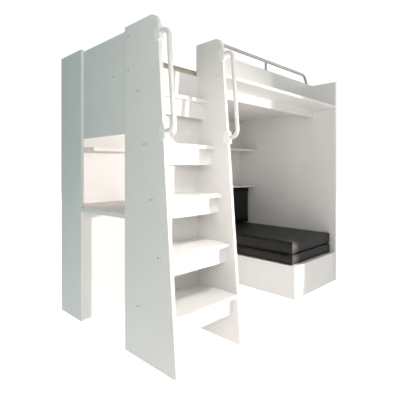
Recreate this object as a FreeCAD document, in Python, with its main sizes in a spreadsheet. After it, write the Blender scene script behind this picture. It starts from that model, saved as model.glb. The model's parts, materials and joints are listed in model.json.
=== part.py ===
"""Loft bed with a stair tower, a desk behind the stair and a padded guest seat below.

Layout axes, before the origin is moved to the middle of the footprint:
X runs along the bed from the outer face of the left stair side,
Y runs back from the rear edge of that side, and Z runs up from the floor.
"""
import FreeCAD, Part
import math
import os
import re
from FreeCAD import Placement, Rotation, Vector
import Sketcher

doc = FreeCAD.newDocument("loft_bed")
spec = doc.addObject("Spreadsheet::Sheet", "Spec")

# Driving dimensions, in millimetres and degrees.
DIMENSIONS = {
    # boards
    "board": 22, "side_board": 18, "thin_board": 15, "desk_board": 25,
    "glide_thick": 3, "glide_radius": 8, "glide_inset": 40,
    # whole bed
    "full_height": 1855, "bay_length": 2018, "bay_width": 898,
    "end_panel_under": 1248, "end_panel_top": 1840, "end_panel_recess": 14,
    # stair
    "stair_clear": 465, "foot_reach": 457.5, "crown_reach": 303, "crown_radius": 60,
    "steps": 5, "first_rise": 298, "rise": 296, "first_nose": 432, "nose_step": 61,
    "apron_depth": 98, "apron_setback": 34, "stair_back_top": 1648,
    # bed box
    "rail_setback": 80, "rail_under": 1545, "rail_depth": 67, "ledge_reach": 229,
    "deck_drop": 20, "deck_pieces": 3, "mattress_thick": 96, "mattress_gap": 3, "mattress_round": 14,
    "corner_block_thick": 32, "corner_block_wide": 55, "corner_block_under": 1715, "corner_block_tall": 120,
    "guard_proud": 11, "guard_depth": 212, "batten": 22,
    # desk and rear tower
    "desk_top_height": 780, "desk_depth": 500, "tower_depth": 316, "tower_shelf_top": 1193,
    "modesty_recess": 15, "desk_catch_left": 10, "desk_catch_long": 25, "desk_catch_wide": 16,
    # seat
    "seat_left": 1343, "seat_front": 303, "seat_height": 267, "seat_pad_lower": 81, "seat_pad_upper": 105,
    "seat_pad_right_gap": 21, "back_pad_thick": 151, "back_pad_top": 841, "pad_gap": 0.4, "pad_round": 14,
    # wall shelves
    "upper_shelf_top": 1255, "upper_shelf_depth": 251, "lower_shelf_top": 863, "lower_shelf_depth": 202,
    # steel tubes
    "tube": 25, "tube_wall": 1.2, "tube_play": 0.2, "hoop": 22,
    "rail_standoff": 75, "rail_bend": 42, "handrail_low": 1232, "handrail_rise": 518,
    "guard_tube_height": 1924, "guard_tube_start": 597, "guard_tube_end": 1923,
    "guard_tube_lean": 55, "guard_tube_bend": 45, "guard_post": 18, "guard_post_place": 1262,
    "foot_plate_thick": 4, "foot_plate_width": 20, "foot_plate_heel": 13, "foot_plate_toe": 47,
    "foot_screw": 4, "foot_screw_head": 8, "foot_screw_long": 25,
    # handrail brackets
    "bracket_wall": 3, "bracket_grip": 30, "bracket_nose": 16, "bracket_tall": 76,
    "bracket_screw_inset": 8, "bracket_screw_spread": 30,
    "bracket_round": 4, "bracket_screw": 5,
    # confirmat screws and their caps
    "screw_head": 10, "screw_head_thick": 2, "screw_shank": 7, "screw_thread": 5, "screw_length": 50,
    "screw_play": 0.2, "socket": 4, "socket_deep": 3, "cap": 12, "cap_thick": 1.2, "pair_front": 35, "pair_pitch": 25, "low_pair_rear": 129,
}

# Places worked out from them, as expressions.
PLACES = {
    "stair_right": "board + stair_clear",
    "stair_right_out": "stair_right + board",
    "bed_end": "board + bay_length",
    "bed_end_out": "bed_end + board",
    "rail_face": "-rail_setback",
    "rail_rear": "rail_face + board",
    "back_face": "rail_rear + bay_width",
    "back_out": "back_face + side_board",
    "tower_front": "back_out - tower_depth",
    "ledge_front": "rail_face - ledge_reach",
    "ledge_under": "rail_under + rail_depth",
    "ledge_top": "ledge_under + board",
    "deck_under": "ledge_under - deck_drop",
    "deck_top": "deck_under + thin_board",
    "deck_left": "end_panel_recess + side_board",
    "guard_face": "rail_face - guard_proud",
    "guard_top": "ledge_top + guard_depth",
    "desk_under": "desk_top_height - desk_board",
    "seat_deck_under": "seat_height - thin_board",
    "seat_right": "bed_end - seat_pad_right_gap",
    "edge_slope": "(foot_reach - crown_reach) / full_height",
    "middle_x": "(bed_end_out + cap_thick - bracket_wall) / 2",
    "middle_y": "(back_out - foot_reach + edge_slope * glide_thick) / 2",
}

for row, (alias, size) in enumerate(DIMENSIONS.items(), start=1):
    spec.set(f"A{row}", alias)
    spec.set(f"B{row}", str(size))
    spec.setAlias(f"B{row}", alias)
doc.recompute()


def bound(text):
    """Write an expression's plain names as cells of the sheet."""
    def spell(match):
        name = match.group()
        if name in PLACES:
            return "(" + bound(PLACES[name]) + ")"
        return f"Spec.{name}" if name in DIMENSIONS else name
    return re.sub(r"[a-z_]+", spell, text)


def number(text):
    return float(spec.evalExpression(bound(text)))


def bind(item, prop, text):
    item.setExpression(prop, bound(text))


def put(item, x="0", y="0", z="0"):
    """Bind an object's place, given in layout axes, about the footprint's middle."""
    bind(item, "Placement.Base.x", f"({x}) - middle_x")
    bind(item, "Placement.Base.y", f"({y}) - middle_y")
    bind(item, "Placement.Base.z", z)


def spot(x, y, z):
    """A layout point, given in millimetres, about the footprint's middle."""
    return Vector(x - number("middle_x"), y - number("middle_y"), z)


pieces = []


def keep(item, label):
    """Name a finished sub-part and list it for export."""
    item.Label = label
    pieces.append(item)
    return item


# ---------------------------------------------------------------- boards and bodies

def block(name, x, y, z):
    """A box between pairs of expressions."""
    box = doc.addObject("Part::Box", name)
    for prop, (low, high) in (("Length", x), ("Width", y), ("Height", z)):
        bind(box, prop, f"({high}) - ({low})")
    put(box, x[0], y[0], z[0])
    return box


def board(label, x, y, z):
    return keep(block(label + "_box", x, y, z), label)


def plane_of(body, role):
    return next(item for item in body.Origin.OriginFeatures if item.Role == role)


def new_body(name):
    return doc.addObject("PartDesign::Body", name)


def new_sketch(body, name, role):
    sketch = body.newObject("Sketcher::SketchObject", name)
    sketch.AttachmentSupport = [(plane_of(body, role), "")]
    sketch.MapMode = "FlatFace"
    return sketch


def outline(sketch, corners):
    """A closed outline of straight edges, each corner bound to two expressions."""
    points = [Vector(number(a), number(b), 0) for a, b in corners]
    for here, there in zip(points, points[1:] + points[:1]):
        sketch.addGeometry(Part.LineSegment(here, there), False)
    count = len(points)
    for edge in range(count):
        sketch.addConstraint(Sketcher.Constraint("Coincident", edge, 2, (edge + 1) % count, 1))
    for edge, ((a, b), point) in enumerate(zip(corners, points)):
        for kind, text, size in (("DistanceX", a, point.x), ("DistanceY", b, point.y)):
            mark = sketch.addConstraint(Sketcher.Constraint(kind, -1, 1, edge, 1, size))
            sketch.setExpression(f"Constraints[{mark}]", bound(text))


def pad(body, sketch, name, height):
    lift = body.newObject("PartDesign::Pad", name)
    lift.Profile = sketch
    bind(lift, "Length", height)
    sketch.Visibility = False
    return lift


def edge_near(shape, point):
    """Name of the edge whose middle is nearest to a point."""
    def gap(number_and_edge):
        return number_and_edge[1].CenterOfMass.distanceToPoint(point)
    return "Edge%d" % min(enumerate(shape.Edges, start=1), key=gap)[0]


def rounded_corner(body, base, name, point, radius):
    fillet = body.newObject("PartDesign::Fillet", name)
    fillet.Base = (base, [edge_near(base.Shape, point)])
    bind(fillet, "Radius", radius)
    return fillet


def cut(base, tools, label):
    """Take the tools out of a blank and keep what is left."""
    drill = tools[0]
    if len(tools) > 1:
        drill = doc.addObject("Part::MultiFuse", label + "_tools")
        drill.Shapes = tools
    result = doc.addObject("Part::Cut", label + "_cut")
    result.Base = base
    result.Tool = drill
    return keep(result, label)


def shaped(name, shape):
    item = doc.addObject("Part::Feature", name)
    item.Shape = shape
    return item


# ---------------------------------------------------------------- screws

def rod(start, end_x, diameter):
    """A cylinder along X from a point to a plane."""
    reach = end_x - start.x
    return Part.makeCylinder(diameter / 2, abs(reach), start, Vector(math.copysign(1, reach), 0, 0))


def socket(face, inward):
    """The six-sided key recess in a screw's head."""
    wide = number("socket") / math.sqrt(3)
    corners = [
        face + Vector(0, wide * math.cos(math.radians(60 * side)), wide * math.sin(math.radians(60 * side)))
        for side in range(7)
    ]
    return Part.Face(Part.makePolygon(corners)).extrude(Vector(inward * number("socket_deep"), 0, 0))


def screw_stack(face, inward, spare=0.0):
    """A confirmat screw whose head lies just under a face, or with spare its hole."""
    head = number("screw_head_thick")
    shank_end = number("board")
    point = number("screw_length")
    widths = (
        (0.0, head, number("screw_head")),
        (head, shank_end, number("screw_shank")),
        (shank_end, point + spare, number("screw_thread")),
    )
    parts = [
        rod(face + Vector(inward * low, 0, 0), face.x + inward * high, wide + spare)
        for low, high, wide in widths
    ]
    whole = parts[0].multiFuse(parts[1:]).removeSplitter()
    return whole if spare else whole.cut(socket(face, inward))


def screw_group(label, places):
    return keep(shaped(label + "_group", Part.makeCompound([screw_stack(*place) for place in places])), label)


def hole_group(name, places):
    play = number("screw_play")
    return shaped(name, Part.makeCompound([screw_stack(face, inward, play) for face, inward in places]))


def cap_group(label, places):
    """Press-on covers, a lens-topped disc over each screw head."""
    wide, thick = number("cap"), number("cap_thick")
    covers = []
    for face, inward in places:
        disc = rod(face, face.x - inward * thick, wide)
        rim = [edge for edge in disc.Edges if abs(edge.CenterOfMass.x - (face.x - inward * thick)) < thick / 4]
        covers.append(disc.makeChamfer(thick / 2, rim))
    return keep(shaped(label + "_group", Part.makeCompound(covers)), label)


# ---------------------------------------------------------------- stair

def nose(step):
    return f"-(first_nose - nose_step * {step})"


def tread_top(step):
    return f"(first_rise + rise * {step})"


def tread_screws(face_x, inward):
    """Where the screws enter a stair side: a pair at each tread."""
    wide, pitch = number("pair_front"), number("pair_pitch")
    places = []
    for step in range(int(number("steps"))):
        front = number(nose(step)) + wide
        if step == 0:
            front = -number("low_pair_rear") - pitch
        height = number(f"{tread_top(step)} - board / 2")
        places += [(spot(face_x, front + offset, height), inward) for offset in (0.0, pitch)]
    return places


def edge_frame(side_x, height):
    """The slanted front edge's own axes at a height: X across, -Y outwards, Z up the edge."""
    slope = number("edge_slope")
    tilt = math.degrees(math.atan(slope))
    point = spot(side_x + number("board") / 2, slope * height - number("foot_reach"), height)
    return Placement(point, Rotation(Vector(1, 0, 0), -tilt))


def bracket_frames(side_x):
    low = edge_frame(side_x, number("handrail_low"))
    high = low.multiply(Placement(Vector(0, 0, number("handrail_rise")), Rotation()))
    return low, high


def bracket_screw_line(frame, up, spare):
    """A screw through a bracket and the board between its walls, or its hole."""
    half = number("board / 2 + bracket_wall") + spare
    inset = number("bracket_grip - bracket_screw_inset")
    line = Part.makeCylinder(number("bracket_screw / 2") + spare, 2 * half, Vector(-half, inset, up), Vector(1, 0, 0))
    line.Placement = frame
    return line


def bracket_bolts(side_x, spare=0.0):
    spread = number("bracket_screw_spread")
    return [bracket_screw_line(frame, up, spare) for frame in bracket_frames(side_x) for up in (-spread, spread)]


def stair_side(label, side_x, rear, places):
    """A tapered side: upright at the back, leaning at the front, with a round crown."""
    body = new_body(label + "_body")
    sketch = new_sketch(body, label + "_outline", "YZ_Plane")
    foot = "-(foot_reach - edge_slope * glide_thick)"
    outline(sketch, [
        (rear, "glide_thick"), (rear, "full_height"), ("-crown_reach", "full_height"), (foot, "glide_thick"),
    ])
    blank = pad(body, sketch, label + "_pad", "board")
    doc.recompute()
    crown = Vector(number("board / 2"), -number("crown_reach"), number("full_height"))
    rounded_corner(body, blank, label + "_crown", crown, "crown_radius")
    put(body, side_x)
    bolts = shaped(label + "_bolt_holes", Part.makeCompound(bracket_bolts(number(side_x), number("screw_play"))))
    return cut(body, [hole_group(label + "_screw_holes", places), bolts], label)


# Screws of the outer left faces: tread pairs, two in the mattress deck and one in the corner block.
LEFT_TREADS = tread_screws(0.0, 1)
RIGHT_TREADS = tread_screws(number("stair_right_out"), -1)
DECK_MIDDLE = number("deck_under + thin_board / 2")
DECK_SCREW_FRONT = [(spot(0.0, -34.0, DECK_MIDDLE), 1)]
DECK_SCREW_END = [(spot(number("end_panel_recess"), 152.0, DECK_MIDDLE), 1)]
CORNER_SCREW = [(spot(0.0, -34.0, 1795.0), 1)]

# Screws from inside the stair into the end of the front ledge.
LEDGE_MIDDLE = number("ledge_under + board / 2")
LEDGE_SCREWS = [(spot(number("stair_right"), y, LEDGE_MIDDLE), 1) for y in (-269.0, -120.0)]


def end_screws(z, ys):
    """Screws through the right end panel at one height."""
    return [(spot(number("bed_end_out"), y, number(z)), -1) for y in ys]


END_LEDGE = end_screws("ledge_under + board / 2", (-269.0, -120.0))
END_RAIL = end_screws("rail_under + 25", (-69.0,))
END_REAR = end_screws("guard_top - 60", (849.0,))
END_UPPER = end_screws("upper_shelf_top - side_board / 2", (640.0, 800.0))
END_LOWER = end_screws("lower_shelf_top - thin_board / 2", (690.0, 800.0))

stair_side("stair_side_left", "0", "0", LEFT_TREADS + DECK_SCREW_FRONT + CORNER_SCREW)
stair_side("stair_side_right", "stair_right", "rail_face", RIGHT_TREADS + LEDGE_SCREWS)
board("stair_back_panel", ("board", "stair_right"), ("rail_face - thin_board", "rail_face"),
      ("glide_thick", "stair_back_top"))

for step in range(int(number("steps"))):
    name = f"stair_tread_{step + 1}"
    blank = block(name + "_box", ("board", "stair_right"), (nose(step), "rail_face - thin_board"),
                  (f"{tread_top(step)} - board", tread_top(step)))
    pairs = LEFT_TREADS[2 * step:2 * step + 2] + RIGHT_TREADS[2 * step:2 * step + 2]
    cut(blank, [hole_group(name + "_holes", pairs)], name)
    board(f"stair_apron_{step + 1}", ("board", "stair_right"),
          (f"{nose(step)} + apron_setback", f"{nose(step)} + apron_setback + side_board"),
          (f"{tread_top(step)} - board - apron_depth", f"{tread_top(step)} - board"))

# ---------------------------------------------------------------- bed box

def drilled(label, x, y, z, screws):
    """A board with the holes of the screws that enter it."""
    return cut(block(label + "_box", x, y, z), [hole_group(label + "_holes", screws)], label)


drilled("bed_end_panel_right", ("bed_end", "bed_end_out"), ("ledge_front", "back_out"),
        ("glide_thick", "full_height"), END_LEDGE + END_RAIL + END_REAR + END_UPPER + END_LOWER)
board("bed_side_panel_rear", ("0", "side_board"), ("tower_front", "back_out"), ("glide_thick", "full_height"))
drilled("bed_end_panel_left", ("end_panel_recess", "end_panel_recess + side_board"), ("0", "tower_front"),
        ("end_panel_under", "end_panel_top"), DECK_SCREW_END)
drilled("bed_front_rail", ("board", "bed_end"), ("rail_face", "rail_rear"),
        ("rail_under", "ledge_under"), END_RAIL)
drilled("bed_rear_board", ("side_board", "bed_end"), ("back_face", "back_out"),
        ("rail_under", "guard_top"), END_REAR)
drilled("bed_front_ledge", ("stair_right_out", "bed_end"), ("ledge_front", "rail_rear"),
        ("ledge_under", "ledge_top"), LEDGE_SCREWS + END_LEDGE)
drilled("bed_corner_block", ("board", "board + corner_block_thick"), ("-corner_block_wide", "0"),
        ("corner_block_under", "corner_block_under + corner_block_tall"), CORNER_SCREW)
for side, y in (("front", ("rail_rear", "rail_rear + batten")), ("rear", ("back_face - batten", "back_face"))):
    board(f"deck_batten_{side}", ("deck_left", "bed_end"), y, ("deck_under - batten", "deck_under"))

deck_length = "(bed_end - deck_left) / deck_pieces"
for piece in range(int(number("deck_pieces"))):
    x = (f"deck_left + {deck_length} * {piece}", f"deck_left + {deck_length} * {piece + 1}")
    y = ("rail_rear", "back_face")
    z = ("deck_under", "deck_top")
    label = f"mattress_deck_{piece + 1}"
    if piece == 0:
        drilled(label, x, y, z, DECK_SCREW_FRONT + DECK_SCREW_END)
    else:
        board(label, x, y, z)


# ---------------------------------------------------------------- desk and rear tower

def desk_top():
    """The desk board, with a tongue out to the left face and a nook for the black catch."""
    body = new_body("desk_top_body")
    sketch = new_sketch(body, "desk_top_outline", "XY_Plane")
    catch_front = "tower_front - desk_catch_wide"
    catch_right = "desk_catch_left + desk_catch_long"
    outline(sketch, [
        ("board", "rail_face"), ("board", "0"), ("0", "0"), ("0", "tower_front"),
        ("desk_catch_left", "tower_front"), ("desk_catch_left", catch_front),
        (catch_right, catch_front), (catch_right, "tower_front"), ("side_board", "tower_front"),
        ("side_board", "back_face"), ("desk_depth", "back_face"), ("desk_depth", "rail_face"),
    ])
    pad(body, sketch, "desk_top_pad", "desk_board")
    put(body, z="desk_under")
    return keep(body, "desk_top")


desk_top()
board("desk_corner_catch", ("desk_catch_left", "desk_catch_left + desk_catch_long"),
      ("tower_front - desk_catch_wide", "tower_front"), ("desk_under - 4", "desk_top_height - 3"))
board("desk_front_batten", ("board", "stair_right"), ("rail_face", "rail_face + batten"),
      ("desk_under - batten", "desk_under"))
board("desk_rear_panel", ("side_board", "desk_depth"),
      ("tower_front + modesty_recess", "tower_front + modesty_recess + thin_board"),
      ("glide_thick", "desk_under"))
board("tower_shelf", ("side_board", "desk_depth"), ("tower_front", "back_face"),
      ("tower_shelf_top - board", "tower_shelf_top"))

divider_left = "seat_left - side_board"
for side, x in (("left", ("side_board", divider_left)), ("right", (divider_left, "bed_end"))):
    board(f"wall_panel_{side}", x, ("back_face", "back_face + thin_board"), ("glide_thick", "rail_under"))

# ---------------------------------------------------------------- seat and wall shelves

board("shelf_side_panel", (divider_left, "seat_left"), ("back_face - upper_shelf_depth - board", "back_face"),
      ("glide_thick", "rail_under"))
drilled("wall_shelf_upper", ("seat_left", "bed_end"), ("back_face - upper_shelf_depth", "back_face"),
        ("upper_shelf_top - side_board", "upper_shelf_top"), END_UPPER)
drilled("wall_shelf_lower", ("seat_left", "bed_end"), ("back_face - lower_shelf_depth", "back_face"),
        ("lower_shelf_top - thin_board", "lower_shelf_top"), END_LOWER)

seat_inner = "side_board - seat_front"
board("seat_front_panel", ("seat_left", "bed_end"), ("-seat_front", seat_inner), ("glide_thick", "seat_height"))
board("seat_side_panel", ("seat_left", "seat_left + side_board"), (seat_inner, "back_face"),
      ("glide_thick", "seat_deck_under"))
seat_middle = "(seat_left + bed_end) / 2"
board("seat_middle_panel", (f"{seat_middle} - side_board / 2", f"{seat_middle} + side_board / 2"),
      (seat_inner, "back_face"), ("glide_thick", "seat_deck_under"))
board("seat_batten", ("bed_end - batten", "bed_end"), (seat_inner, "back_face"),
      ("seat_deck_under - batten", "seat_deck_under"))
board("seat_deck", ("seat_left", "bed_end"), (seat_inner, "back_face"), ("seat_deck_under", "seat_height"))


# ---------------------------------------------------------------- soft parts

def cushion(label, x, y, z, radius):
    """A soft pad as a box with every edge rounded."""
    box = block(label + "_box", x, y, z)
    doc.recompute()
    fillet = doc.addObject("Part::Fillet", label + "_rounded")
    fillet.Base = box
    size = number(radius)
    fillet.Edges = [(edge + 1, size, size) for edge in range(len(box.Shape.Edges))]
    return keep(fillet, label)


cushion("mattress", ("deck_left + mattress_gap", "bed_end - mattress_gap"),
        ("rail_rear + mattress_gap", "back_face - mattress_gap"),
        ("deck_top + pad_gap", "deck_top + mattress_thick"), "mattress_round")
lower_top = "seat_height + seat_pad_lower"
seat_pad_x = ("seat_left", "seat_right")
seat_pad_y = (seat_inner, "back_face - mattress_gap")
cushion("seat_cushion_lower", seat_pad_x, seat_pad_y, ("seat_height + pad_gap", lower_top), "pad_round")
cushion("seat_cushion_upper", seat_pad_x, seat_pad_y,
        (f"{lower_top} + pad_gap", f"{lower_top} + seat_pad_upper"), "pad_round")
cushion("seat_back_cushion", ("seat_left + side_board", "seat_right"),
        ("back_face - pad_gap - back_pad_thick", "back_face - pad_gap"),
        (f"{lower_top} + seat_pad_upper + pad_gap", "back_pad_top"), "pad_round")


# ---------------------------------------------------------------- tubes

def bent_line(points, radius):
    """A chain of straight runs joined by arcs of one radius."""
    edges = []
    start = points[0]
    for before, corner, after in zip(points, points[1:], points[2:]):
        way_in = (before - corner).normalize()
        way_out = (after - corner).normalize()
        half = way_in.getAngle(way_out) / 2
        back = radius / math.tan(half)
        first = corner + way_in * back
        last = corner + way_out * back
        middle = corner + (way_in + way_out).normalize() * (radius / math.sin(half) - radius)
        edges.append(Part.LineSegment(start, first).toShape())
        edges.append(Part.Arc(first, middle, last).toShape())
        start = last
    edges.append(Part.LineSegment(start, points[-1]).toShape())
    return Part.Wire(edges)


def swept(path, start, direction, diameter):
    ring = Part.Wire(Part.makeCircle(diameter / 2, start, direction))
    return path.makePipeShell([ring], True, False)


def tube_along(points, radius, diameter, hollow=True):
    """A round tube along a bent line, open at both ends."""
    path = bent_line(points, radius)
    direction = points[1] - points[0]
    outer = swept(path, points[0], direction, diameter)
    if not hollow:
        return outer
    return outer.cut(swept(path, points[0], direction, diameter - 2 * number("tube_wall")))


def handrail(label, side_x):
    """A hoop standing off the leaning edge, its ends in two brackets."""
    low, high = bracket_frames(number(side_x))
    near = Vector(0, -2, 0)
    far = Vector(0, -number("rail_standoff"), 0)
    points = [low.multVec(near), low.multVec(far), high.multVec(far), high.multVec(near)]
    return keep(shaped(label + "_tube", tube_along(points, number("rail_bend"), number("tube"))), label)


def bracket(label, side_x, frame):
    """A cap that grips the board's edge and holds the tube's end in a round bore."""
    grip, nose_depth, tall = number("bracket_grip"), number("bracket_nose"), number("bracket_tall")
    wide = number("board + 2 * bracket_wall")
    thick = number("board")
    body = Part.makeBox(wide, grip + nose_depth, tall, Vector(-wide / 2, -nose_depth, -tall / 2))
    upright = [edge for edge in body.Edges if abs(edge.tangentAt(edge.FirstParameter).z) > 0.9
               and edge.CenterOfMass.y < 0]
    body = body.makeFillet(number("bracket_round"), upright)
    rims = [edge for edge in body.Edges if abs(abs(edge.CenterOfMass.z) - tall / 2) < 0.01
            and edge.CenterOfMass.y < grip - 1]
    body = body.makeFillet(2.0, rims)
    slot = Part.makeBox(thick, grip + 1, tall + 2, Vector(-thick / 2, 0, -tall / 2 - 1))
    bore = Part.makeCylinder(number("tube / 2 + tube_play"), nose_depth + 2, Vector(0, -nose_depth - 1, 0),
                             Vector(0, 1, 0))
    body = body.cut(slot.fuse(bore))
    body.Placement = frame
    holes = Part.makeCompound(bracket_bolts(number(side_x), number("screw_play")))
    return keep(shaped(label + "_cap", body.cut(holes)), label)


SIDES = (("left", "0"), ("right", "stair_right"))
for side, side_x in SIDES:
    handrail(f"handrail_{side}", side_x)
    for place, frame in zip(("lower", "upper"), bracket_frames(number(side_x))):
        bracket(f"handrail_bracket_{side}_{place}", side_x, frame)
bolts = [bolt for _, side_x in SIDES for bolt in bracket_bolts(number(side_x))]
keep(shaped("handrail_bolt_group", Part.makeCompound(bolts)), "handrail_bolts")

# The guard hoop: a bent tube with a welded foot at each end and a post in the middle.
hoop_y = number("guard_face + board / 2")
guard_z = number("guard_top")
plate_z = guard_z + number("foot_plate_thick")
hoop_left, hoop_right = number("guard_tube_start"), number("guard_tube_end")
post_x = number("guard_post_place")
lean, heel, toe = number("guard_tube_lean"), number("foot_plate_heel"), number("foot_plate_toe")
post_toe = toe / 2
FOOT_PLATES = (
    (hoop_left - heel, hoop_left + toe),
    (post_x - heel, post_x + post_toe),
    (hoop_right - toe, hoop_right + heel),
)
FOOT_SCREWS = (hoop_left + toe - 8, hoop_left + toe - 22, post_x + post_toe - 6,
               hoop_right - toe + 22, hoop_right - toe + 8)


def foot_screw(x, spare=0.0):
    """A round-headed screw down through a foot plate into the guard's edge, or its hole."""
    shank = Part.makeCylinder(number("foot_screw / 2") + spare, number("foot_screw_long"),
                              spot(x, hoop_y, plate_z - number("foot_screw_long")))
    if spare:
        return shank
    head = Part.makeCylinder(number("foot_screw_head / 2"), 2.4, spot(x, hoop_y, plate_z))
    rim = [edge for edge in head.Edges if edge.CenterOfMass.z > plate_z + 2]
    return shank.fuse(head.makeFillet(1.5, rim)).removeSplitter()


def guard_tube():
    low = plate_z - 1
    high = number("guard_tube_height")
    slope = lean / (high - guard_z)
    dip = slope * (low - guard_z)
    corners = [
        spot(hoop_left + dip, hoop_y, low), spot(hoop_left + lean, hoop_y, high),
        spot(hoop_right - lean, hoop_y, high), spot(hoop_right - dip, hoop_y, low),
    ]
    hoop = tube_along(corners, number("guard_tube_bend"), number("hoop"), hollow=False)
    post = Part.makeCylinder(number("guard_post / 2"), high - low, spot(post_x, hoop_y, low))
    width = number("foot_plate_width")
    plates = []
    for start, end in FOOT_PLATES:
        plate = Part.makeBox(end - start, width, plate_z - guard_z, spot(start, hoop_y - width / 2, guard_z))
        upright = [edge for edge in plate.Edges if abs(edge.tangentAt(edge.FirstParameter).z) > 0.9]
        plates.append(plate.makeFillet(6.0, upright))
    ground = Part.makeBox(hoop_right - hoop_left + 400, 100, 60, spot(hoop_left - 200, hoop_y - 50, guard_z - 60))
    whole = hoop.multiFuse([post] + plates).cut(ground)
    bore = tube_along(corners, number("guard_tube_bend"), number("hoop - 2 * tube_wall"), hollow=False)
    cap = Part.makeBox(hoop_right - hoop_left + 400, 100, plate_z - guard_z + 1,
                       spot(hoop_left - 200, hoop_y - 50, guard_z - 0.5))
    whole = whole.cut(bore.cut(cap))
    holes = Part.makeCompound([foot_screw(x, number("screw_play")) for x in FOOT_SCREWS])
    return keep(shaped("guard_tube_hoop", whole.cut(holes).removeSplitter()), "guard_tube")


guard_tube()
guard_blank = block("bed_guard_panel_box", ("stair_right_out", "bed_end"), ("guard_face", "guard_face + board"),
                    ("ledge_top", "guard_top"))
foot_holes = shaped("foot_screw_holes", Part.makeCompound(
    [foot_screw(x, number("screw_play")) for x in FOOT_SCREWS]))
cut(guard_blank, [foot_holes], "bed_guard_panel")
keep(shaped("foot_screw_group", Part.makeCompound([foot_screw(x) for x in FOOT_SCREWS])), "guard_screws")

# ---------------------------------------------------------------- fasteners and glides

LEFT_SCREWS = LEFT_TREADS + DECK_SCREW_FRONT + DECK_SCREW_END + CORNER_SCREW
RIGHT_SCREWS = END_LEDGE + END_RAIL + END_REAR + END_UPPER + END_LOWER
screw_group("screws_left_face", LEFT_SCREWS)
screw_group("screws_in_stair", RIGHT_TREADS + LEDGE_SCREWS)
screw_group("screws_right_face", RIGHT_SCREWS)
cap_group("screw_caps", LEFT_TREADS[0::2] + RIGHT_TREADS[0::2] + LEDGE_SCREWS + RIGHT_SCREWS)

inset = number("glide_inset")
stair_front = inset - number("foot_reach")
GLIDE_PLACES = []
for x, front, rear in (
        ("board / 2", stair_front, -inset),
        ("stair_right + board / 2", stair_front, number("rail_face") - inset),
        ("side_board / 2", number("tower_front") + inset, number("back_out") - inset),
        ("bed_end + board / 2", number("ledge_front") + inset, number("back_out") - inset),
        ("seat_left - side_board / 2", number("back_face - upper_shelf_depth"), number("back_face") - inset),
        ("seat_left + side_board / 2", inset - number("seat_front"), number("tower_front"))):
    GLIDE_PLACES += [spot(number(x), front, 0), spot(number(x), rear, 0)]
glides = [Part.makeCylinder(number("glide_radius"), number("glide_thick"), place) for place in GLIDE_PLACES]
keep(shaped("floor_glide_group", Part.makeCompound(glides)), "floor_glides")

# ---------------------------------------------------------------- checks and export

doc.recompute()
faults = [item.Name for item in doc.Objects if "Invalid" in item.State or "Error" in item.State]
faults += [item.Label for item in pieces if item.Shape.isNull() or not item.Shape.isValid()]
if faults:
    raise RuntimeError("objects to mend: " + ", ".join(faults))

os.makedirs("parts", exist_ok=True)
for piece in pieces:
    piece.Shape.exportStep(f"parts/{piece.Label}.step")
print(len(pieces), "pieces written")
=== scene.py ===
import json
import math

import bmesh
import bpy
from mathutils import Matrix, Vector, noise
from mathutils.bvhtree import BVHTree


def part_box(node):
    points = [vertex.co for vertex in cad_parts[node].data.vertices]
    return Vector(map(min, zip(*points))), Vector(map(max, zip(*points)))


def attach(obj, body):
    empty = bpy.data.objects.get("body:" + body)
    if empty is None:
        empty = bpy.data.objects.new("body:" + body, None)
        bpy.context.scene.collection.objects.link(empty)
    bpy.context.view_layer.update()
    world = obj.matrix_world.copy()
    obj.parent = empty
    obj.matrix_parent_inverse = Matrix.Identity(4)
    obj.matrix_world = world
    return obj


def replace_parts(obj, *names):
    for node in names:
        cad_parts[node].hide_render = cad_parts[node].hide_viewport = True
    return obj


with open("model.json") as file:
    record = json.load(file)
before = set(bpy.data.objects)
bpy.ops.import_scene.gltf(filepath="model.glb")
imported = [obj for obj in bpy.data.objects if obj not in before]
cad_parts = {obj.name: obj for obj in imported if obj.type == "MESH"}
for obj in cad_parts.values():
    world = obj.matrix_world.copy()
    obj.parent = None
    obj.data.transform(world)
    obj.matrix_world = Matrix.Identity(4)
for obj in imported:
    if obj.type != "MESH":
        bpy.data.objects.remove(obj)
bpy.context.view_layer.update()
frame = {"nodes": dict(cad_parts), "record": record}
NODES = frame["nodes"]
scene = bpy.context.scene


# ------------------------------------------------------------------ node helpers

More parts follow.
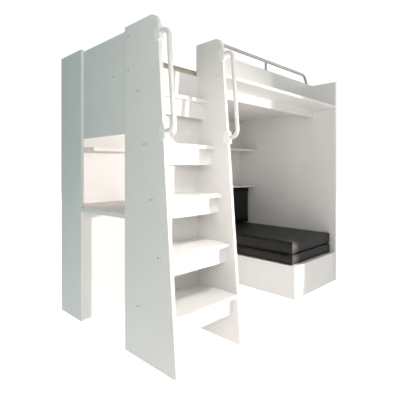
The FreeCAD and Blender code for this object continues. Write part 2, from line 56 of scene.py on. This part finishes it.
class Shader:
    """A node tree with a Principled shader, and short ways to add nodes to it."""

    def __init__(self, name):
        self.material = bpy.data.materials.new(name)
        self.material.use_nodes = True
        self.nodes = self.material.node_tree.nodes
        self.links = self.material.node_tree.links
        self.bsdf = next(n for n in self.nodes if n.type == "BSDF_PRINCIPLED")
        self.coords = self.nodes.new("ShaderNodeTexCoord").outputs["Object"]

    def add(self, kind, **inputs):
        node = self.nodes.new(kind)
        for name, value in inputs.items():
            self.put(value, node.inputs[name.replace("_", " ")])
        return node

    def put(self, value, socket):
        if isinstance(value, bpy.types.NodeSocket):
            self.links.new(value, socket)
        else:
            socket.default_value = value

    def set(self, name, value):
        self.put(value, self.bsdf.inputs[name])

    def math(self, operation, *values):
        node = self.nodes.new("ShaderNodeMath")
        node.operation = operation
        for socket, value in zip(node.inputs, values):
            self.put(value, socket)
        return node.outputs[0]

    def noise(self, scale, detail=3.0, roughness=0.5, coords=None):
        node = self.add("ShaderNodeTexNoise", Scale=scale, Detail=detail, Roughness=roughness)
        self.put(coords or self.coords, node.inputs["Vector"])
        return node.outputs["Fac"]

    def stretched(self, x, y, z):
        node = self.add("ShaderNodeMapping", Vector=self.coords)
        node.inputs["Scale"].default_value = (x, y, z)
        return node.outputs["Vector"]

    def ramp(self, factor, *stops):
        node = self.add("ShaderNodeValToRGB", Fac=factor)
        points = node.color_ramp.elements
        while len(points) < len(stops):
            points.new(0.5)
        for point, (place, color) in zip(points, stops):
            point.position = place
            point.color = (*color, 1.0) if len(color) == 3 else color
        return node.outputs["Color"]

    def span(self, factor, low, high):
        node = self.add("ShaderNodeMapRange", Value=factor)
        node.inputs["To Min"].default_value = low
        node.inputs["To Max"].default_value = high
        return node.outputs["Result"]

    def blend(self, factor, first, second):
        node = self.nodes.new("ShaderNodeMix")
        node.data_type = "RGBA"
        for place, value in ((0, factor), (6, first), (7, second)):
            self.put(value if place == 0 or isinstance(value, bpy.types.NodeSocket) else (*value, 1.0),
                     node.inputs[place])
        return node.outputs[2]

    def bump(self, height, distance, strength=1.0):
        node = self.add("ShaderNodeBump", Height=height, Distance=distance, Strength=strength)
        self.links.new(node.outputs["Normal"], self.bsdf.inputs["Normal"])
        return node


def shade(color, factor):
    return tuple(min(1.0, channel * factor) for channel in color)


# ------------------------------------------------------------------ materials

# A wave texture advances 20 radians per unit of its scale, so one wave is about two pitches long.
WAVE_TURN = 6.2832


def melamine(name, color, rough=0.42):
    """Coated board: faint cloudiness, a fine pebbled grain and small rubbed spots."""
    s = Shader(name)
    cloud = s.noise(2.4, 4.0, 0.55)
    fine = s.noise(420.0, 2.0, 0.6)
    grain = s.noise(1.0, 3.0, 0.5, s.stretched(900.0, 900.0, 900.0))
    tone = s.ramp(cloud, (0.30, shade(color, 0.965)), (0.70, shade(color, 1.012)))
    rub = s.ramp(s.noise(38.0, 5.0, 0.7), (0.66, (0, 0, 0)), (0.80, (1, 1, 1)))
    s.set("Base Color", s.blend(s.math("MULTIPLY", rub, 0.10), tone, shade(color, 0.90)))
    s.set("Roughness", s.span(s.math("ADD", s.math("MULTIPLY", fine, 0.5), s.math("MULTIPLY", cloud, 0.5)),
                              rough - 0.07, rough + 0.10))
    s.set("Specular IOR Level", 0.42)
    s.bump(s.math("ADD", s.math("MULTIPLY", fine, 0.6), s.math("MULTIPLY", grain, 0.4)), 0.00006, 0.55)
    return s.material


def edge_band(name, color):
    """The thin glue line and eased arris where the band meets the face."""
    s = Shader(name)
    worn = s.ramp(s.noise(160.0, 5.0, 0.7), (0.42, shade(color, 0.80)), (0.58, color))
    s.set("Base Color", worn)
    s.set("Roughness", s.span(s.noise(300.0), 0.30, 0.55))
    s.bump(s.noise(700.0, 2.0), 0.00008, 0.5)
    return s.material


def pine(name):
    s = Shader(name)
    along = s.stretched(1.6, 26.0, 26.0)
    rings = s.add("ShaderNodeTexWave", Vector=along, Scale=1.4, Distortion=5.5, Detail=3.0)
    tone = s.ramp(rings.outputs["Fac"], (0.2, (0.70, 0.64, 0.53)), (0.8, (0.80, 0.75, 0.65)))
    pores = s.ramp(s.noise(1.0, 4.0, 0.6, s.stretched(30.0, 700.0, 700.0)), (0.4, (0.72, 0.66, 0.56)),
                   (0.55, (1, 1, 1)))
    mixed = s.nodes.new("ShaderNodeMix")
    mixed.data_type = "RGBA"
    mixed.blend_type = "MULTIPLY"
    mixed.inputs[0].default_value = 0.35
    s.put(tone, mixed.inputs[6])
    s.put(pores, mixed.inputs[7])
    s.set("Base Color", mixed.outputs[2])
    s.set("Roughness", 0.62)
    s.bump(s.noise(1.0, 4.0, 0.6, s.stretched(30.0, 700.0, 700.0)), 0.0002, 0.5)
    return s.material


def weave(name, color, light, pitch, sheen, rough=0.86, lint=0.10, specular=0.25):
    """Plain-woven cloth: a thread wave along each axis, slub both ways, and a few pale fibres."""
    s = Shader(name)
    heights = []
    for axis in ("X", "Y", "Z"):
        wave = s.add("ShaderNodeTexWave", Vector=s.coords, Scale=1 / pitch / WAVE_TURN,
                     Distortion=0.6, Detail=1.5)
        wave.bands_direction = axis
        wave.inputs["Detail Scale"].default_value = 3.0
        heights.append(wave.outputs["Fac"])
    threads = s.math("MULTIPLY", s.math("ADD", s.math("ADD", heights[0], heights[1]), heights[2]), 0.333)
    slub = s.noise(1.0, 4.0, 0.6, s.stretched(60.0, 420.0, 420.0))
    slub_across = s.noise(1.0, 4.0, 0.6, s.stretched(420.0, 60.0, 60.0))
    mottling = s.noise(9.0, 4.0, 0.6)
    mix = s.math("ADD", s.math("MULTIPLY", threads, 0.45),
                 s.math("ADD", s.math("MULTIPLY", slub, 0.22), s.math("MULTIPLY", slub_across, 0.22)))
    tone = s.ramp(mix, (0.30, color), (0.62, light))
    fibre = s.ramp(s.noise(1300.0, 2.0, 0.4), (0.70, (0, 0, 0)), (0.76, (1, 1, 1)))
    tone = s.blend(s.math("MULTIPLY", fibre, lint), tone, shade(light, 2.6))
    cloud = s.ramp(mottling, (0.3, (0.90, 0.90, 0.90)), (0.7, (1.08, 1.08, 1.08)))
    mixed = s.nodes.new("ShaderNodeMix")
    mixed.data_type = "RGBA"
    mixed.blend_type = "MULTIPLY"
    mixed.inputs[0].default_value = 1.0
    s.put(tone, mixed.inputs[6])
    s.put(cloud, mixed.inputs[7])
    s.set("Base Color", mixed.outputs[2])
    s.set("Roughness", rough)
    s.set("Specular IOR Level", specular)
    s.set("Sheen Weight", sheen)
    s.set("Sheen Roughness", 0.45)
    s.bump(mix, pitch * 0.45, 0.8)
    return s.material


def powder_coat(name, color, rough, metal=0.0):
    s = Shader(name)
    peel = s.noise(520.0, 3.0, 0.55)
    cloud = s.noise(14.0, 4.0, 0.6)
    s.set("Base Color", s.ramp(cloud, (0.3, shade(color, 0.93)), (0.7, shade(color, 1.04))))
    s.set("Roughness", s.span(peel, rough - 0.08, rough + 0.10))
    s.set("Metallic", metal)
    s.set("Coat Weight", 0.35)
    s.set("Coat Roughness", 0.12)
    s.bump(peel, 0.00009, 0.5)
    return s.material


def steel(name, color):
    s = Shader(name)
    brushed = s.noise(1.0, 4.0, 0.6, s.stretched(300.0, 2600.0, 2600.0))
    s.set("Base Color", s.ramp(brushed, (0.3, shade(color, 0.82)), (0.7, shade(color, 1.1))))
    s.set("Metallic", 1.0)
    s.set("Roughness", s.span(brushed, 0.24, 0.42))
    s.bump(brushed, 0.00006, 0.4)
    return s.material


def plastic(name, color, rough):
    s = Shader(name)
    grain = s.noise(900.0, 2.0, 0.5)
    cloud = s.noise(40.0, 3.0, 0.6)
    s.set("Base Color", s.ramp(cloud, (0.3, shade(color, 0.95)), (0.7, shade(color, 1.03))))
    s.set("Roughness", s.span(grain, rough - 0.06, rough + 0.08))
    s.bump(grain, 0.00007, 0.5)
    return s.material


WHITE = (0.83, 0.815, 0.80)
board_face = melamine("white_melamine", WHITE)
board_edge = edge_band("edge_band_line", (0.78, 0.775, 0.75))
pine_wood = pine("planed_pine")
seat_cloth = weave("black_upholstery", (0.0055, 0.0050, 0.0042), (0.0115, 0.0105, 0.0088), 0.0016,
                   0.03, 0.52, lint=0.05, specular=0.34)
seat_piping = weave("black_piping", (0.0055, 0.0052, 0.0047), (0.0110, 0.0105, 0.0095), 0.0011, 0.05)
ticking = weave("mattress_ticking", (0.47, 0.43, 0.37), (0.63, 0.59, 0.515), 0.0014, 0.12)
tick_border = weave("mattress_tape", (0.30, 0.27, 0.23), (0.42, 0.385, 0.33), 0.0011, 0.12)
rail_paint = powder_coat("light_powder_coat", (0.76, 0.75, 0.725), 0.34)
guard_paint = powder_coat("grey_powder_coat", (0.52, 0.51, 0.50), 0.36, 0.28)
bracket_plastic = plastic("moulded_white", (0.90, 0.895, 0.875), 0.30)
zinc = steel("zinc_plate", (0.30, 0.305, 0.31))
cap_plastic = plastic("cap_grey_white", (0.66, 0.675, 0.66), 0.42)
black_plastic = plastic("catch_black", (0.02, 0.02, 0.02), 0.38)
glide_plastic = plastic("glide_grey", (0.5, 0.5, 0.48), 0.5)

SLOT_MATERIALS = {
    "white_board": board_face, "pine_batten": pine_wood, "rail_steel": rail_paint,
    "guard_steel": guard_paint, "bracket_white": bracket_plastic, "screw_steel": zinc,
    "cap_plastic": cap_plastic, "black_plastic": black_plastic, "glide_plastic": glide_plastic,
}
SOFT_NODES = ("mattress", "seat_cushion_lower", "seat_cushion_upper", "seat_back_cushion")
ARRIS = {"white_board": 0.0009, "pine_batten": 0.0015, "black_plastic": 0.0012}

for row in frame["record"]["subparts"]:
    node = NODES[row["node"]]
    if row["node"] in SOFT_NODES:
        continue
    finish = SLOT_MATERIALS[row["material_slot"]]
    node.data.materials.clear()
    node.data.materials.append(finish)
    if row["material_slot"] not in ARRIS:
        continue
    eased = node.modifiers.new("eased_arris", "BEVEL")
    eased.width = ARRIS[row["material_slot"]]
    eased.segments = 2
    eased.limit_method = "ANGLE"
    eased.angle_limit = math.radians(50)
    eased.use_clamp_overlap = False
    eased.harden_normals = False
    if finish is board_face:
        node.data.materials.append(board_edge)
        eased.material = 1


# ------------------------------------------------------------------ soft goods

PAD_GAP = 0.004           # room left at a pad's sides for its swelling
PAD_ROUND = 0.008
PRESSURE = 4.0
SIM_FRAMES = 20
DIMPLE_DEEP, DIMPLE_SCALE = 0.0011, 5.0
CORNER_STEPS = 6
CORNER_ROUND = 0.022      # of the lines that the welts follow
SEAT_WELT = 0.0022
SEAT_WELT_INSET = 0.004
SEAT_WELT_PLACE = 0.012   # from a cushion's edge
TAPE, TAPE_INSET, TAPE_PLACE = 0.0032, 0.002, 0.014


def mesh_object(name, bm, *materials):
    mesh = bpy.data.meshes.new(name)
    bm.to_mesh(mesh)
    bm.free()
    item = bpy.data.objects.new(name, mesh)
    scene.collection.objects.link(item)
    for material in materials:
        mesh.materials.append(material)
    return item


def bake_modifiers(item):
    """Replace an object's mesh with its evaluated one."""
    deps = bpy.context.evaluated_depsgraph_get()
    mesh = bpy.data.meshes.new_from_object(item.evaluated_get(deps))
    item.modifiers.clear()
    old = item.data
    item.data = mesh
    bpy.data.meshes.remove(old)
    return item


def pad_blank(name, low, high, shrink, waist, voxel):
    """A rounded block a little smaller than its room, its sides drawn in between the corners."""
    low = Vector(low) + Vector(shrink)
    high = Vector(high) - Vector(shrink)
    middle, half = (low + high) / 2, (high - low) / 2
    bm = bmesh.new()
    bmesh.ops.create_cube(bm, size=2.0)
    for vertex in bm.verts:
        vertex.co = Vector(tuple(middle[k] + vertex.co[k] * half[k] for k in range(3)))
    bmesh.ops.bevel(bm, geom=bm.edges[:], offset=PAD_ROUND, segments=3, profile=0.6, affect="EDGES")
    item = mesh_object(name, bm)
    remesh = item.modifiers.new("remesh", "REMESH")
    remesh.mode = "VOXEL"
    remesh.voxel_size = voxel
    bake_modifiers(item)
    for vertex in item.data.vertices:
        place = [(vertex.co[k] - middle[k]) / half[k] for k in range(3)]
        for k in range(2):
            other = 1 - k
            pull = waist * (1 - place[other] ** 4)
            vertex.co[k] -= pull * place[k]
    return item


def simulate(item, cap):
    """Let trapped air swell the cover, with no gravity, and hold how far any point may move."""
    start = [vertex.co.copy() for vertex in item.data.vertices]
    cloth = item.modifiers.new("cover", "CLOTH")
    cfg = cloth.settings
    cfg.quality = 6
    cfg.mass = 0.35
    cfg.tension_stiffness = cfg.compression_stiffness = 22
    cfg.shear_stiffness = 14
    cfg.bending_stiffness = 1.2
    cfg.use_pressure = True
    cfg.uniform_pressure_force = PRESSURE
    cfg.effector_weights.gravity = 0.0
    cloth.collision_settings.use_collision = False
    cloth.point_cache.frame_start, cloth.point_cache.frame_end = 1, SIM_FRAMES
    for number in range(1, SIM_FRAMES + 1):
        scene.frame_set(number)
    bake_modifiers(item)
    scene.frame_set(1)
    for vertex, was in zip(item.data.vertices, start):
        step = vertex.co - was
        if step.length > cap:
            vertex.co = was + step * (cap / step.length)
    return item


def confine(item, low, high):
    """Keep a pad inside its room: what would pass a plane of the room lies flat against it."""
    for vertex in item.data.vertices:
        for k in range(3):
            vertex.co[k] = min(max(vertex.co[k], low[k]), high[k])
    return item


def dimple(item, amount, scale, seed):
    """Slow, shallow unevenness of a cover over foam."""
    normals = [vertex.normal.copy() for vertex in item.data.vertices]
    for vertex, normal in zip(item.data.vertices, normals):
        sample = Vector((vertex.co.x * scale, vertex.co.y * scale, vertex.co.z * scale + seed))
        vertex.co += normal * (noise.noise(sample) * amount)


def smooth(item):
    for polygon in item.data.polygons:
        polygon.use_smooth = True
    return item


def perimeter(low, high, height, corner, step_length=0.02):
    """Points round a rectangle with round corners, at a height."""
    points = []
    centres = (
        (high[0] - corner, high[1] - corner, 0), (low[0] + corner, high[1] - corner, 90),
        (low[0] + corner, low[1] + corner, 180), (high[0] - corner, low[1] + corner, 270),
    )
    for x, y, start in centres:
        for step in range(CORNER_STEPS + 1):
            angle = math.radians(start + 90 / CORNER_STEPS * step)
            points.append(Vector((x + corner * math.cos(angle), y + corner * math.sin(angle), height)))
    dense = []
    for here, there in zip(points, points[1:] + points[:1]):
        count = max(1, int((there - here).length / step_length))
        dense += [here.lerp(there, step / count) for step in range(count)]
    return dense


def closed_tube(name, points, radius, material):
    """A welt sewn along a closed line: one curve with a round section."""
    data = bpy.data.curves.new(name, "CURVE")
    data.dimensions = "3D"
    data.bevel_depth = radius
    data.bevel_resolution = 2
    spline = data.splines.new("POLY")
    spline.points.add(len(points) - 1)
    for point, place in zip(spline.points, points):
        point.co = (*place, 1.0)
    spline.use_cyclic_u = True
    curve = bpy.data.objects.new(name + "_path", data)
    scene.collection.objects.link(curve)
    deps = bpy.context.evaluated_depsgraph_get()
    mesh = bpy.data.meshes.new_from_object(curve.evaluated_get(deps))
    bpy.data.objects.remove(curve)
    item = bpy.data.objects.new(name, mesh)
    mesh.materials.clear()
    mesh.materials.append(material)
    scene.collection.objects.link(item)
    return smooth(item)


def on_surface(item, points, push=0.0):
    """Move points on to the nearest place of a mesh, then out along its normal."""
    deps = bpy.context.evaluated_depsgraph_get()
    tree = BVHTree.FromObject(item, deps)
    found = []
    for point in points:
        place, normal, _, _ = tree.find_nearest(point)
        found.append(place + normal * push)
    return found


def cushion(name, node, material, waist, crown_gap, cap, voxel, seed):
    """One padded piece: blank, cloth simulation, slight unevenness, confined to its room."""
    low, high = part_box(node)
    item = pad_blank(name, low, high, (PAD_GAP, PAD_GAP, crown_gap), waist, voxel)
    simulate(item, cap)
    dimple(item, DIMPLE_DEEP, DIMPLE_SCALE, seed)
    confine(item, low, high)
    item.data.materials.clear()
    item.data.materials.append(material)
    sub = item.modifiers.new("smooth", "SUBSURF")
    sub.levels = sub.render_levels = 1
    bake_modifiers(item)
    smooth(item)
    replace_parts(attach(item, "root"), node)
    return item


def welts(item, node, heights, inset, radius, material):
    """Welts round a pad: a height counts down from its top, a negative one up from its underside."""
    low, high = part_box(node)
    for number, height in enumerate(heights, start=1):
        z = high[2] - height if height >= 0 else low[2] - height
        line = perimeter((low[0] + inset, low[1] + inset), (high[0] - inset, high[1] - inset),
                         z, CORNER_ROUND)
        line = on_surface(item, line, radius * 0.25)
        for point in line:
            for k in range(2):
                point[k] = min(max(point[k], low[k] + radius), high[k] - radius)
            point.z = min(max(point.z, low[2] + radius), high[2] - radius)
        welt = closed_tube(f"{item.name}_welt_{number}", line, radius, material)
        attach(welt, "root")


SEAMS = (SEAT_WELT_PLACE, -SEAT_WELT_PLACE)
# piece, node, waist, room over and under it, cap on movement, voxel, noise seed, seams
PADS = (
    ("lower_seat_pad", "seat_cushion_lower", 0.004, 0.003, 0.010, 0.007, 1.3, SEAMS),
    ("upper_seat_pad", "seat_cushion_upper", 0.004, 0.006, 0.014, 0.007, 7.9, SEAMS),
    ("back_pad", "seat_back_cushion", 0.004, 0.004, 0.014, 0.007, 4.4, ()),
)
for pad_name, node_name, waist, gap, cap, voxel, seed, seams in PADS:
    pad = cushion(pad_name, node_name, seat_cloth, waist, gap, cap, voxel, seed)
    if seams:
        welts(pad, node_name, seams, SEAT_WELT_INSET, SEAT_WELT, seat_piping)


def back_pad_seams():
    """Welts round the front and rear outlines of the upright cushion."""
    low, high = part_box("seat_back_cushion")
    pad = bpy.data.objects["back_pad"]
    inset = SEAT_WELT_INSET
    thick = high[1] - low[1]
    for number, depth in enumerate((SEAT_WELT_PLACE, thick - SEAT_WELT_PLACE), start=1):
        flat = perimeter((low[0] + inset, low[2] + inset), (high[0] - inset, high[2] - inset),
                         0.0, CORNER_ROUND)
        line = on_surface(pad, [Vector((p.x, low[1] + depth, p.y)) for p in flat], 0.0006)
        for point in line:
            for k in range(3):
                point[k] = min(max(point[k], low[k] + SEAT_WELT), high[k] - SEAT_WELT)
        welt = closed_tube(f"back_pad_welt_{number}", line, SEAT_WELT, seat_piping)
        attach(welt, "root")


back_pad_seams()


def mattress():
    """A foam mattress: quilted top and underside, a plain border and a tape at each edge."""
    low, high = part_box("mattress")
    middle = [(a + b) / 2 for a, b in zip(low, high)]
    half = [(b - a) / 2 for a, b in zip(low, high)]
    bm = bmesh.new()
    columns, rows, layers = 201, 91, 9
    right, back, top = columns - 1, rows - 1, layers - 1
    round_edge = 0.016

    def place(u, v, w):
        """A point of the shell from three numbers in -1..1, one of them at a limit."""
        point = Vector((u * half[0], v * half[1], w * half[2]))
        core = Vector(tuple(
            max(-half[k] + round_edge, min(half[k] - round_edge, point[k])) for k in range(3)))
        away = point - core
        if away.length > 1e-9:
            point = core + away.normalized() * round_edge
        return point

    grid = {}

    def vertex(u, v, w):
        key = (u, v, w)
        if key not in grid:
            grid[key] = bm.verts.new(place(2 * u / right - 1, 2 * v / back - 1, 2 * w / top - 1))
        return grid[key]

    def quad(*corners):
        bm.faces.new([vertex(*corner) for corner in corners])

    for u in range(right):
        for v in range(back):
            quad((u, v, top), (u + 1, v, top), (u + 1, v + 1, top), (u, v + 1, top))
            quad((u, v, 0), (u, v + 1, 0), (u + 1, v + 1, 0), (u + 1, v, 0))
        for w in range(top):
            quad((u, 0, w), (u + 1, 0, w), (u + 1, 0, w + 1), (u, 0, w + 1))
            quad((u, back, w), (u, back, w + 1), (u + 1, back, w + 1), (u + 1, back, w))
    for v in range(back):
        for w in range(top):
            quad((0, v, w), (0, v, w + 1), (0, v + 1, w + 1), (0, v + 1, w))
            quad((right, v, w), (right, v + 1, w), (right, v + 1, w + 1), (right, v, w + 1))
    bm.normal_update()
    pitch, puff_high, cover_wide, crown_high = 0.150, 0.0055, 0.05, 0.004
    sunk, drawn_in, belly_out, drift_out = 0.0095, 0.0030, 0.0030, 0.0010
    for point in bm.verts:
        x, y = point.co.x, point.co.y
        edge = min(half[0] - abs(x), half[1] - abs(y))
        cover = min(1.0, max(0.0, edge / cover_wide))
        first = abs(math.sin(math.pi * (x + y) / pitch))
        second = abs(math.sin(math.pi * (x - y) / pitch))
        puff = (min(first, second) ** 0.55) * puff_high * cover
        crown = crown_high * (1 - (x / half[0]) ** 4) * (1 - (y / half[1]) ** 4)
        if abs(point.normal.z) > 0.7:
            point.co.z = math.copysign(half[2] - sunk + puff + crown, point.co.z)
        else:
            belly = 1 - (point.co.z / half[2]) ** 2
            drift = noise.noise(Vector((x * 6, y * 6, point.co.z * 6))) * drift_out
            point.co += (Vector((point.normal.x, point.normal.y, 0))
                         * (-drawn_in + belly_out * belly + drift))
    for point in bm.verts:
        point.co += Vector(middle)
    item = mesh_object("mattress_cover", bm, ticking)
    confine(item, low, high)
    sub = item.modifiers.new("smooth", "SUBSURF")
    sub.levels = sub.render_levels = 1
    bake_modifiers(item)
    smooth(item)
    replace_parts(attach(item, "root"), "mattress")
    welts(item, "mattress", (TAPE_PLACE, -TAPE_PLACE), TAPE_INSET, TAPE, tick_border)


mattress()


# ------------------------------------------------------------------ stage, light, camera

FLOOR_GLOW = 0.60         # what the floor gives off to the object; the camera sees 1 more
FLOOR_TINT = (1.0, 0.945, 0.930, 1.0)


def pale_floor():
    bm = bmesh.new()
    bmesh.ops.create_grid(bm, x_segments=2, y_segments=2, size=14.0)
    floor = mesh_object("floor", bm)
    s = Shader("pale_floor")
    s.set("Base Color", s.ramp(s.noise(0.8), (0.3, (0.86, 0.86, 0.86)), (0.7, (0.88, 0.88, 0.88))))
    s.set("Roughness", 0.9)
    s.set("Specular IOR Level", 0.0)
    s.set("Emission Color", FLOOR_TINT)
    seen = s.add("ShaderNodeLightPath").outputs["Is Camera Ray"]
    s.set("Emission Strength", s.math("ADD", FLOOR_GLOW, seen))
    floor.data.materials.append(s.material)


def studio_world(strength, color):
    """White to the camera, a soft even glow to the object."""
    world = bpy.data.worlds.new("studio")
    scene.world = world
    world.use_nodes = True
    tree = world.node_tree
    glow = tree.nodes["Background"]
    glow.inputs["Color"].default_value = (*color, 1)
    glow.inputs["Strength"].default_value = strength
    seen = tree.nodes.new("ShaderNodeBackground")
    seen.inputs["Color"].default_value = (1, 1, 1, 1)
    seen.inputs["Strength"].default_value = 1.05
    path = tree.nodes.new("ShaderNodeLightPath")
    either = tree.nodes.new("ShaderNodeMixShader")
    tree.links.new(path.outputs["Is Camera Ray"], either.inputs[0])
    tree.links.new(glow.outputs[0], either.inputs[1])
    tree.links.new(seen.outputs[0], either.inputs[2])
    tree.links.new(either.outputs[0], tree.nodes["World Output"].inputs["Surface"])


def lamp(name, kind, place, aim, power, color):
    data = bpy.data.lights.new(name, kind)
    data.energy = power
    data.color = color
    item = bpy.data.objects.new(name, data)
    item.location = place
    item.rotation_euler = (Vector(aim) - Vector(place)).to_track_quat("-Z", "Y").to_euler()
    scene.collection.objects.link(item)
    return item


def spot(name, place, aim, cone, power, color, radius=0.05, blend=0.6):
    """A bare lamp with a round beam that fades to its edge."""
    item = lamp(name, "SPOT", place, aim, power, color)
    item.data.spot_size = math.radians(cone)
    item.data.spot_blend = blend
    item.data.shadow_soft_size = radius


def area_light(name, place, aim, size, power, color, spread=180.0):
    """A soft box, which the camera doesn't see."""
    item = lamp(name, "AREA", place, aim, power, color)
    item.data.shape = "RECTANGLE"
    item.data.size, item.data.size_y = size
    item.data.spread = math.radians(spread)
    item.visible_camera = False


def upright(name, start, end, bottom, top):
    """A flat upright sheet, which the camera and reflections don't see."""
    bm = bmesh.new()
    bm.faces.new([bm.verts.new(corner) for corner in (
        (*start, bottom), (*end, bottom), (*end, top), (*start, top))])
    item = mesh_object(name, bm)
    item.visible_camera = item.visible_glossy = False
    return item


def studio_flag(source, edge, share):
    """A flag between a lamp and the object, which shades all that lies right of an edge."""
    near = Vector(source).lerp(Vector(edge), share).xy
    level = (Vector(edge).xy - near).normalized()
    far = near - Vector((-level.y, level.x)) * 3.0
    item = upright("studio_flag", near, far, -0.2, 3.2)
    item.visible_diffuse = item.visible_transmission = False


def shade_card(start, end, top, tint):
    """A dull card beside the object's rear: it keeps glow off that end and adds its own tint."""
    item = upright("studio_card", start, end, 0.0, top)
    s = Shader("card_paint")
    s.set("Base Color", s.ramp(s.noise(3.0), (0.3, shade(tint, 0.96)), (0.7, shade(tint, 1.04))))
    s.set("Roughness", 0.95)
    s.set("Specular IOR Level", 0.0)
    item.data.materials.append(s.material)
    item.visible_shadow = False


KEY_PLACE = (3.17, -5.80, 1.25)
SEAT_EDGE = (0.425, -0.505, 0.0)   # where the flag's shadow starts, at the seat's front
KEY_COLOR = (1.0, 0.925, 0.875)
pale_floor()
studio_world(0.31, (0.90, 1.0, 0.95))
spot("low_key", KEY_PLACE, (-0.30, -0.30, 0.70), 24.0, 1250.0, KEY_COLOR)
spot("seat_kicker", KEY_PLACE, (0.37, -0.505, 0.30), 5.0, 5000.0, KEY_COLOR)
studio_flag(KEY_PLACE, SEAT_EDGE, 0.55)
shade_card((-2.35, 0.15), (-2.35, 2.9), 2.8, (0.09, 0.36, 0.355))
area_light("top_soft", (-0.2, -0.8, 4.6), (0.0, 0.0, 0.8), (3.0, 3.0), 26.0, (0.98, 0.97, 1.0))
area_light("right_soft", (3.6, -2.2, 1.8), (0.2, 0.0, 1.0), (2.0, 2.0), 44.0, (1.0, 0.88, 0.86))
area_light("near_fill", (-2.1, -2.3, 1.7), (-0.9, -0.4, 1.5), (0.9, 0.9), 16.0, (1.0, 0.98, 0.94))
area_light("stair_top", (-0.80, -1.55, 2.5), (-0.78, -0.38, 0.45), (0.35, 0.35), 1.2,
           (1.0, 0.97, 0.93), 34.0)

SENSOR, PICTURE_WIDE, FOCAL_PIXELS = 36.0, 400, 357.53
view = bpy.data.cameras.new("camera")
view.sensor_width = SENSOR
view.lens = FOCAL_PIXELS / PICTURE_WIDE * SENSOR
view.shift_x = -0.05
view.shift_y = -0.0759
view.clip_end = 100.0
camera = bpy.data.objects.new("camera", view)
camera.location = (-2.1537, -2.0077, 1.0377)
camera.rotation_euler = (math.radians(90), 0, math.radians(-46.7875))
scene.collection.objects.link(camera)
scene.camera = camera
scene.view_settings.view_transform = "Standard"
